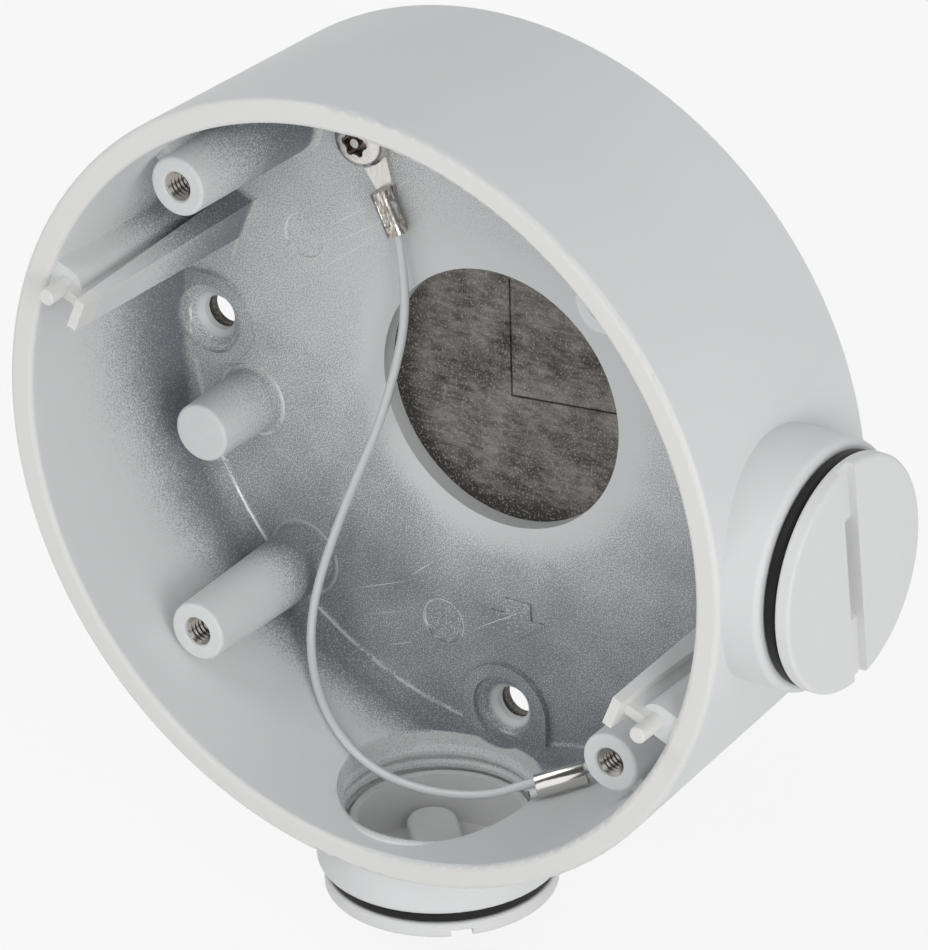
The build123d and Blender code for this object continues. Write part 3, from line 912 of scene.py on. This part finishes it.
@dataclass(frozen=True)
class TinnedTerminal:
    """Tin plate of the ring terminal, clean on its tongue and rubbed brown on its barrel.

    Attributes:
        bright: Colour of the clean plate.
        rubbed: Colour of the rubbed plate.
        centre: X and Z of the ring.
        barrel_way: Way from the ring to the barrel, in X and Z.
        barrel_start: Distances from the ring's centre at which the barrel starts.
        barrel_turn: Turn about Y that lays the streaks along the barrel, in radians.
        streaks: Noise of the streaks.
        streak_scale: Scale of their coordinates: a small one stretches them.
        streak_edge: Its values at which a streak starts.
        blots: Noise of the blots.
        blot_edge: Its values at which a blot starts.
        rubbed_share: How much the rubs cover on the tongue and on the barrel.
        roughness: Roughness of the clean plate and of the rubbed one.
    """

    bright: Colour = (0.78, 0.765, 0.72)
    rubbed: Colour = (0.3, 0.275, 0.24)
    centre: Pair = (-19.4 * MM, 32.4 * MM)
    barrel_way: Pair = (0.42, -0.9075)
    barrel_start: Pair = (6.8 * MM, 7.1 * MM)
    barrel_turn: float = -0.434
    streaks: Noise = Noise(2600.0, 4.0, 0.65)
    streak_scale: tuple[float, float, float] = (1.0, 1.0, 0.12)
    streak_edge: Pair = (0.36, 0.62)
    blots: Noise = Noise(900.0, 4.0, 0.65)
    blot_edge: Pair = (0.5, 0.62)
    rubbed_share: Pair = (0.16, 0.85)
    roughness: Pair = (0.2, 0.36)

    def material(self, effects: Effects) -> bpy.types.Material:
        """Builds the finish.

        Args:
            effects: The shared effects. This finish needs none.

        Returns:
            The material.
        """
        material, graph, shader = new_material("tinned_terminal")
        where = graph.place()
        axes = graph.axes(where)
        across = graph.times(graph.minus(axes[0], self.centre[0]), self.barrel_way[0])
        up = graph.times(graph.minus(axes[2], self.centre[1]), self.barrel_way[1])
        barrel = graph.band(graph.plus(across, up), *self.barrel_start)
        streaks = graph.noise(graph.turned(where, self.barrel_turn, self.streak_scale), self.streaks)
        blots = graph.band(graph.noise(where, self.blots), *self.blot_edge)
        rub = graph.plus(graph.band(streaks, *self.streak_edge), blots, clamp=True)
        amount = graph.times(rub, graph.blend(barrel, *self.rubbed_share))
        graph.feed(shader.inputs["Base Color"], graph.mix(amount, self.bright, self.rubbed))
        graph.feed(shader.inputs["Roughness"], graph.blend(amount, *self.roughness))
        graph.feed(shader.inputs["Normal"], graph.bump(streaks, 0.4, 0.06 * MM))
        shader.inputs["Metallic"].default_value = 1.0
        return material


class Finishes:
    """All finishes of the box, built once."""

    def __init__(self) -> None:
        """Builds the effects and the materials."""
        effects = Effects()
        self.cast = CastPaint().material(effects)
        self.foam = FoamSheet().material(effects)
        self.plastic = PlainFinish(
            "plug_plastic", (0.79, 0.79, 0.785), (0.755, 0.755, 0.75), rubs=0.1
        ).material(effects)
        self.rubber = PlainFinish(
            "seal_rubber", (0.008, 0.008, 0.008), (0.014, 0.014, 0.014), bump=0.15, specular=0.25
        ).material(effects)
        self.nickel = PlainFinish(
            "bright_nickel", (0.66, 0.65, 0.63), (0.52, 0.51, 0.49),
            roughness=0.13, metallic=1.0, bump=0.1,
        ).material(effects)
        self.screw = ScrewPlate().material(effects)
        self.tin = TinnedTerminal().material(effects)
        self.thread = PlainFinish(
            "cut_thread", (0.4, 0.38, 0.355), (0.26, 0.245, 0.23),
            roughness=0.2, metallic=1.0, bump=0.3,
        ).material(effects)
        self.cable = PlainFinish(
            "coated_cable", (0.72, 0.73, 0.735), (0.64, 0.65, 0.66),
            roughness=0.3, bump=0.15, coat=0.4,
        ).material(effects)
        self.core = PlainFinish(
            "cut_steel", (0.12, 0.12, 0.12), (0.3, 0.3, 0.3), roughness=0.3, metallic=1.0
        ).material(effects)


def dress(piece: bpy.types.Object, material: bpy.types.Material) -> None:
    """Gives a piece one material."""
    piece.data.materials.clear()
    piece.data.materials.append(material)


# Sub-assemblies


@dataclass(frozen=True)
class InnerThread:
    """Ridge of a thread that is cut in a bore.

    Attributes:
        middle: Radius of the ridge's middle.
        height: Height from its middle to its crest.
        pitch: Pitch of the thread.
        turns: Number of turns.
        steps: Faces in each turn.
        sides: Corners of the ridge's section: 4 is sharp, more is rounder.
    """

    middle: float
    height: float
    pitch: float
    turns: int
    steps: int
    sides: int

    def wind(self) -> bpy.types.Object:
        """Winds the ridge along +Z from the origin and closes its ends.

        Returns:
            The ridge, at the origin.
        """
        rest_hands()
        upright = (math.pi / 2, 0.0, 0.0)
        bpy.ops.mesh.primitive_circle_add(
            vertices=self.sides, radius=1.0, location=(self.middle, 0.0, 0.0), rotation=upright
        )
        ridge = bpy.context.object
        half_width = self.pitch * 0.46
        ridge.scale = (self.height, half_width, 1.0)
        apply_place(ridge)
        apply_modifier(
            ridge, "SCREW", axis="Z", steps=self.steps, render_steps=self.steps,
            screw_offset=self.pitch, iterations=self.turns, use_merge_vertices=False,
        )
        pick(ridge)
        bpy.ops.object.mode_set(mode="EDIT")
        bpy.ops.mesh.select_mode(type="VERT")
        bpy.ops.mesh.select_all(action="DESELECT")
        bpy.ops.mesh.select_non_manifold()
        bpy.ops.mesh.fill_holes(sides=self.sides)
        bpy.ops.object.mode_set(mode="OBJECT")
        return ridge


@dataclass
class CastCup:
    """The cast cup: its paint, the threads of its posts and of its ports.

    Attributes:
        post_circle: Radius of the circle of the posts.
        post_start: Distance from the wall at which a post's thread starts.
        post_thread: Thread of a post.
        port_start: Distance from the box's axis at which a port's thread starts.
        port_depth: Distance of the ports' axes from the wall.
        port_thread: Thread of a port.
    """

    post_circle: float = 45.0 * MM
    post_start: float = 27.47 * MM
    post_thread: InnerThread = InnerThread(2.03 * MM, 0.46 * MM, 0.7 * MM, turns=20, steps=28, sides=4)
    port_start: float = 50.0 * MM
    port_depth: float = 19.9 * MM
    port_thread: InnerThread = InnerThread(
        13.25 * MM, 0.82 * MM, 1.814 * MM, turns=5, steps=96, sides=10
    )

    def build(self, finishes: Finishes) -> None:
        """Paints the cup and cuts its threads.

        Args:
            finishes: The finishes.
        """
        dress(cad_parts["housing"], finishes.cast)
        self.post_threads(finishes)
        for port in Port:
            self.thread_port(port, finishes)

    def post_threads(self, finishes: Finishes) -> None:
        """Winds one thread and copies it into the four posts.

        Args:
            finishes: The finishes.
        """
        first = self.post_thread.wind()
        for index in range(4):
            angle = math.radians(45 + 90 * index)
            pick(first)
            bpy.ops.object.duplicate()
            post = bpy.context.object
            where = Vector((math.cos(angle), 0.0, math.sin(angle))) * self.post_circle
            where.y = -self.post_start
            post.matrix_world = Matrix.Translation(where) @ Matrix.Rotation(-math.pi / 2, 4, "X")
            settle(post, f"post_thread_{index + 1}")
            dress(post, finishes.thread)
            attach(post, "housing")
        bpy.data.objects.remove(first)

    def thread_port(self, port: Port, finishes: Finishes) -> None:
        """Winds the thread of one port.

        Args:
            port: The port.
            finishes: The finishes.
        """
        ridge = self.port_thread.wind()
        if port is Port.SIDE:
            out, turn = Vector((1.0, 0.0, 0.0)), Matrix.Rotation(math.pi / 2, 4, "Y")
        else:
            out, turn = Vector((0.0, 0.0, -1.0)), Matrix.Rotation(math.pi, 4, "X")
        where = out * self.port_start + Vector((0.0, -self.port_depth, 0.0))
        ridge.matrix_world = Matrix.Translation(where) @ turn
        settle(ridge, f"{port.value}_port_thread")
        dress(ridge, finishes.cast)
        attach(ridge, "housing")


class PlugsAndSeals:
    """The two plugs, their seals and the foam in the back."""

    def build(self, finishes: Finishes) -> None:
        """Dresses the plugs, the seals and the gasket.

        Args:
            finishes: The finishes.
        """
        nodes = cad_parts
        for port in Port:
            dress(nodes[f"{port.value}_plug"], finishes.plastic)
            dress(nodes[f"{port.value}_seal"], finishes.rubber)
        dress(nodes["back_gasket"], finishes.foam)


@dataclass
class Lanyard:
    """The safety lanyard: screw, ring terminal, coated cable and crimp sleeve.

    Attributes:
        diameter: Diameter of the cable.
        length: Length of the cable that shows. Not used.
        route: Middle of the cable from the terminal to its cut end, in millimetres.
        sleeve_start: Middle of the sleeve's end towards the cable.
        sleeve_end: Middle of its end towards the eye.
        sleeve_up: Way from the cut end to the long strand, about square to the sleeve.
        sleeve_radius: Half of the sleeve's thickness.
        sleeve_oval: Its width, as a share of its thickness.
        sleeve_wall: Thickness of its wall at its ends.
        sleeve_hollow: Depth of the hollow in each end.
        sleeve_edge: Width of its rounded edges.
        strand_radius: Radius of a strand.
        strand_ring: Radius of the ring of strands round the middle one.
        strand_length: Length of the cut strands.
        strand_edge: Width of their rounded edges.
    """

    diameter: float = 1.2 * MM
    length: float = 146.0 * MM
    route: tuple[tuple[float, float, float], ...] = (
        (-15.2, -5.787, 23.325),
        (-13.94, -5.787, 20.602),
        (-13.16, -6.2, 17.0),
        (-12.6, -6.5, 13.0),
        (-12.75, -6.8, 8.0),
        (-14.0, -7.0, 2.3),
        (-16.5, -7.4, -6.3),
        (-19.9, -8.0, -14.5),
        (-22.8, -9.0, -22.5),
        (-25.2, -10.0, -30.4),
        (-25.8, -11.6, -36.8),
        (-23.6, -14.4, -41.8),
        (-19.0, -18.0, -44.9),
        (-13.0, -21.2, -46.8),
        (-7.2, -22.6, -48.1),
        (-1.3, -22.4, -48.6),
        (4.2, -21.5, -48.3),
        (8.6, -20.5, -47.3),
        (11.85, -19.438, -45.66),
        (20.542, -14.175, -42.231),
        (22.342, -13.451, -41.229),
        (24.63, -11.825, -39.553),
        (24.851, -8.81, -39.624),
        (23.154, -7.142, -41.099),
        (20.873, -8.13, -42.82),
        (20.16, -11.306, -43.126),
        (21.151, -14.455, -43.345),
        (13.594, -19.031, -46.327),
    )
    sleeve_start: Vector = field(default_factory=lambda: Vector((14.1, -18.4, -45.45)) * MM)
    sleeve_end: Vector = field(default_factory=lambda: Vector((19.55, -15.1, -43.3)) * MM)
    sleeve_up: Vector = field(default_factory=lambda: Vector((-0.469, 0.215, 0.857)))
    sleeve_radius: float = 0.94 * MM
    sleeve_oval: float = 1.66
    sleeve_wall: float = 0.2 * MM
    sleeve_hollow: float = 0.4 * MM
    sleeve_edge: float = 0.08 * MM
    strand_radius: float = 0.13 * MM
    strand_ring: float = 0.26 * MM
    strand_length: float = 0.6 * MM
    strand_edge: float = 0.04 * MM

    def build(self, finishes: Finishes) -> None:
        """Makes the cable, the sleeve and the strands and dresses the rest.

        Args:
            finishes: The finishes.
        """
        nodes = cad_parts
        dress(nodes["lanyard_screw"], finishes.screw)
        dress(nodes["ring_terminal"], finishes.tin)
        cable = self.cable(finishes)
        sleeve = self.sleeve(finishes)
        core = self.core(finishes)

    def cable(self, finishes: Finishes) -> bpy.types.Object:
        """Lays the cable along its route.

        Args:
            finishes: The finishes.

        Returns:
            The cable, a bevelled curve.
        """
        line = bpy.data.curves.new("lanyard_cable_line", "CURVE")
        line.dimensions = "3D"
        line.bevel_depth = self.diameter / 2
        line.bevel_resolution = 4
        line.resolution_u = 10
        line.use_fill_caps = True
        spline = line.splines.new("NURBS")
        spline.points.add(len(self.route) - 1)
        for point, place in zip(spline.points, self.route):
            point.co = (*(value * MM for value in place), 1.0)
        spline.order_u = 3
        spline.use_endpoint_u = True
        cable = bpy.data.objects.new("coated_cable", line)
        bpy.context.scene.collection.objects.link(cable)
        dress(cable, finishes.cable)
        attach(cable, "housing")
        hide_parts("lanyard_cable")
        return cable

    def sleeve_turn(self) -> Matrix:
        """Turn of the sleeve: Z along it, X from the cut end to the long strand.

        Returns:
            The turn.
        """
        along = (self.sleeve_end - self.sleeve_start).normalized()
        across = (self.sleeve_up - along * self.sleeve_up.dot(along)).normalized()
        return Matrix((across, along.cross(across), along)).transposed().to_4x4()

    def sleeve(self, finishes: Finishes) -> bpy.types.Object:
        """Draws the smooth oval sleeve, hollowed and rounded at both ends.

        Args:
            finishes: The finishes.

        Returns:
            The sleeve.
        """
        rest_hands()
        length = (self.sleeve_end - self.sleeve_start).length
        middle = (0.0, 0.0, length / 2)
        bpy.ops.mesh.primitive_cylinder_add(
            vertices=64, radius=self.sleeve_radius, depth=length, location=middle
        )
        sleeve = bpy.context.object
        apply_place(sleeve)
        bpy.ops.object.mode_set(mode="EDIT")
        bpy.ops.mesh.select_all(action="SELECT")
        bpy.ops.transform.resize(value=(self.sleeve_oval, 1.0, 1.0))
        bpy.ops.mesh.select_mode(type="FACE")
        bpy.ops.mesh.select_all(action="DESELECT")
        bpy.ops.object.mode_set(mode="OBJECT")
        for face in sleeve.data.polygons:
            face.select = abs(face.normal.z) > 0.9
        bpy.ops.object.mode_set(mode="EDIT")
        bpy.ops.mesh.inset(thickness=self.sleeve_wall, use_individual=True)
        bpy.ops.mesh.inset(thickness=0.02 * MM, depth=-self.sleeve_hollow, use_individual=True)
        bpy.ops.object.mode_set(mode="OBJECT")
        round_edges(sleeve, self.sleeve_edge, 3)
        sleeve.matrix_world = Matrix.Translation(self.sleeve_start) @ self.sleeve_turn()
        settle(sleeve, "pressed_sleeve", 40.0)
        dress(sleeve, finishes.nickel)
        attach(sleeve, "housing")
        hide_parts("crimp_sleeve")
        return sleeve

    def core(self, finishes: Finishes) -> bpy.types.Object:
        """Makes the strands that show in the cable's cut end: one in the middle and six round it.

        Args:
            finishes: The finishes.

        Returns:
            The strands, as one piece.
        """
        ends = []
        for index in range(7):
            rest_hands()
            angle = math.radians(60 * index)
            ring = self.strand_ring if index else 0.0
            place = Vector((math.cos(angle), math.sin(angle), 0.0)) * ring
            bpy.ops.mesh.primitive_cylinder_add(
                vertices=14, radius=self.strand_radius, depth=self.strand_length, location=place
            )
            ends.append(bpy.context.object)
            apply_place(ends[-1])
        rest_hands()
        for end in ends:
            end.select_set(True)
        bpy.context.view_layer.objects.active = ends[0]
        bpy.ops.object.join()
        core = bpy.context.object
        round_edges(core, self.strand_edge, 2)
        core.matrix_world = Matrix.Translation(Vector(self.route[-1]) * MM) @ self.sleeve_turn()
        settle(core, "cable_strand_ends", 50.0)
        dress(core, finishes.core)
        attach(core, "housing")
        return core


# Studio


@dataclass(frozen=True)
class Lamp:
    """A soft square lamp.

    Attributes:
        name: Its name.
        place: Where it hangs.
        size: Length of its side.
        power: Its power in watts.
    """

    name: str
    place: tuple[float, float, float]
    size: float
    power: float

    def hang(self, target: Vector) -> None:
        """Hangs the lamp.

        Args:
            target: What it faces.
        """
        data = bpy.data.lights.new(self.name, "AREA")
        data.size = self.size
        data.energy = self.power
        lamp = bpy.data.objects.new(self.name, data)
        bpy.context.scene.collection.objects.link(lamp)
        lamp.location = self.place
        lamp.rotation_euler = (target - Vector(self.place)).to_track_quat("-Z", "Y").to_euler()


@dataclass
class Studio:
    """Floor, lamps and camera.

    Attributes:
        target: The point that the camera and the lamps face.
        azimuth: Turn of the camera about Z from the front, in degrees.
        elevation: Its height above the horizon, in degrees.
        roll: Its roll, in degrees.
        distance: Its distance from the target.
        lens: Its focal length in millimetres.
        shift: Its shift.
        lamps: The lamps.
        floor_size: Length of the floor's side.
        floor_height: Height of the floor, clear of the lowered bottom plug.
        floor_colour: Colour of the floor.
        floor_glow: How much of the floor's colour is plain white where it shows.
        world_colour: Colour of the even light.
        world_strength: Its strength.
        room_way: Way to the dark room behind the camera.
        room_edge: How nearly a way matches that one where the room starts and is darkest.
        room_level: Light of the room where it is darkest.
    """

    target: Vector = field(default_factory=lambda: Vector((0.0, -17.866, 0.0)) * MM)
    azimuth: float = 35.2
    elevation: float = 27.59
    roll: float = -1.62
    distance: float = 955.0 * MM
    lens: float = 287.6
    shift: Pair = (0.02645, -0.0344)
    lamps: tuple[Lamp, ...] = (
        Lamp("upper_left_lamp", (-0.5, -0.6, 0.9), size=0.6, power=1.9),
        Lamp("right_lamp", (1.0, -0.6, 0.5), size=0.6, power=1.9),
        Lamp("low_right_lamp", (0.9, -0.5, 0.0), size=0.5, power=3.2),
        Lamp("front_lamp", (0.15, -1.1, 0.25), size=0.6, power=1.3),
    )
    floor_size: float = 6.0
    floor_height: float = -69.0 * MM
    floor_colour: Colour = (0.9, 0.9, 0.9)
    floor_glow: float = 0.85
    world_colour: Colour = (0.97, 0.985, 1.0)
    world_strength: float = 0.47
    room_way: tuple[float, float, float] = (0.51, -0.72, 0.46)
    room_edge: Pair = (0.3, 0.8)
    room_level: float = 0.1

    def build(self) -> None:
        """Sets up the floor, the lamps, the world and the camera."""
        self.floor()
        for lamp in self.lamps:
            lamp.hang(self.target)
        self.world()
        self.camera()

    @staticmethod
    def seen(graph: Graph, path: Axes) -> Socket:
        """Mask of the rays that show the background: straight, mirrored or through glass."""
        beyond = graph.most(path["Is Glossy Ray"], path["Is Transmission Ray"])
        return graph.most(path["Is Camera Ray"], beyond)

    def floor(self) -> None:
        """Lays a pale floor that keeps the box's shadow and is open from below."""
        rest_hands()
        bpy.ops.mesh.primitive_plane_add(size=self.floor_size, location=(0.0, 0.0, self.floor_height))
        floor = bpy.context.object
        floor.name = "studio_floor"
        material, graph, shader = new_material("studio_floor")
        graph.feed(shader.inputs["Base Color"], self.floor_colour)
        shader.inputs["Roughness"].default_value = 0.8
        seen = self.seen(graph, graph.node("ShaderNodeLightPath").outputs)
        glow = graph.node("ShaderNodeEmission", {"Color": WHITE, "Strength": 1.0})
        inputs = {0: graph.times(seen, self.floor_glow), 1: shader.outputs[0], 2: glow.outputs[0]}
        top = graph.node("ShaderNodeMixShader", inputs)
        below = graph.node("ShaderNodeNewGeometry").outputs["Backfacing"]
        clear = graph.node("ShaderNodeBsdfTransparent")
        mixed = graph.node("ShaderNodeMixShader", {0: below, 1: top.outputs[0], 2: clear.outputs[0]})
        graph.feed(material.node_tree.nodes["Material Output"].inputs["Surface"], mixed.outputs[0])
        dress(floor, material)
        floor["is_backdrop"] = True

    def world(self) -> None:
        """Lights the scene evenly and shows white behind it, with a dark room behind the camera."""
        world = bpy.data.worlds.new("studio_world")
        world.use_nodes = True
        bpy.context.scene.world = world
        graph = Graph(world.node_tree)
        plain = world.node_tree.nodes["Background"]
        graph.feed(plain.inputs["Color"], self.world_colour)
        plain.inputs["Strength"].default_value = self.world_strength
        path = graph.node("ShaderNodeLightPath").outputs
        way = graph.node("ShaderNodeTexCoord").outputs["Generated"]
        facing = graph.vector("DOT_PRODUCT", way, Vector(self.room_way)).outputs["Value"]
        room = graph.blend(graph.band(facing, *self.room_edge), 1.0, self.room_level)
        inputs = {"Color": WHITE, "Strength": graph.most(path["Is Camera Ray"], room)}
        shown = graph.node("ShaderNodeBackground", inputs)
        inputs = {0: self.seen(graph, path), 1: plain.outputs[0], 2: shown.outputs[0]}
        mixed = graph.node("ShaderNodeMixShader", inputs)
        graph.feed(world.node_tree.nodes["World Output"].inputs["Surface"], mixed.outputs[0])

    def camera(self) -> None:
        """Stands the camera at the photograph's angle."""
        azimuth, elevation = math.radians(self.azimuth), math.radians(self.elevation)
        flat = math.cos(elevation)
        back = Vector((math.sin(azimuth) * flat, -math.cos(azimuth) * flat, math.sin(elevation)))
        data = bpy.data.cameras.new("photo_camera")
        data.sensor_width = 36.0
        data.lens = self.lens
        data.shift_x, data.shift_y = self.shift
        data.clip_start, data.clip_end = 0.05, 20.0
        camera = bpy.data.objects.new("photo_camera", data)
        bpy.context.scene.collection.objects.link(camera)
        roll = Matrix.Rotation(math.radians(self.roll), 3, "Z")
        turn = (-back).to_track_quat("-Z", "Y").to_matrix() @ roll
        camera.matrix_world = Matrix.Translation(self.target + back * self.distance) @ turn.to_4x4()
        bpy.context.scene.camera = camera


def main() -> None:
    """Builds the whole scene in order."""
    logging.basicConfig(level=logging.INFO, format="%(message)s")
    bpy.context.scene.view_settings.view_transform = "Standard"
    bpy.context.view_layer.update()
    Studio().build()
    finishes = Finishes()
    for part in (CastCup(), PlugsAndSeals(), Lanyard()):
        part.build(finishes)
        log.info("built %s", type(part).__name__)
    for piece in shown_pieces():
        log.info("%s: %s", piece.name, piece.type)


if __name__ == "__main__":
    main()
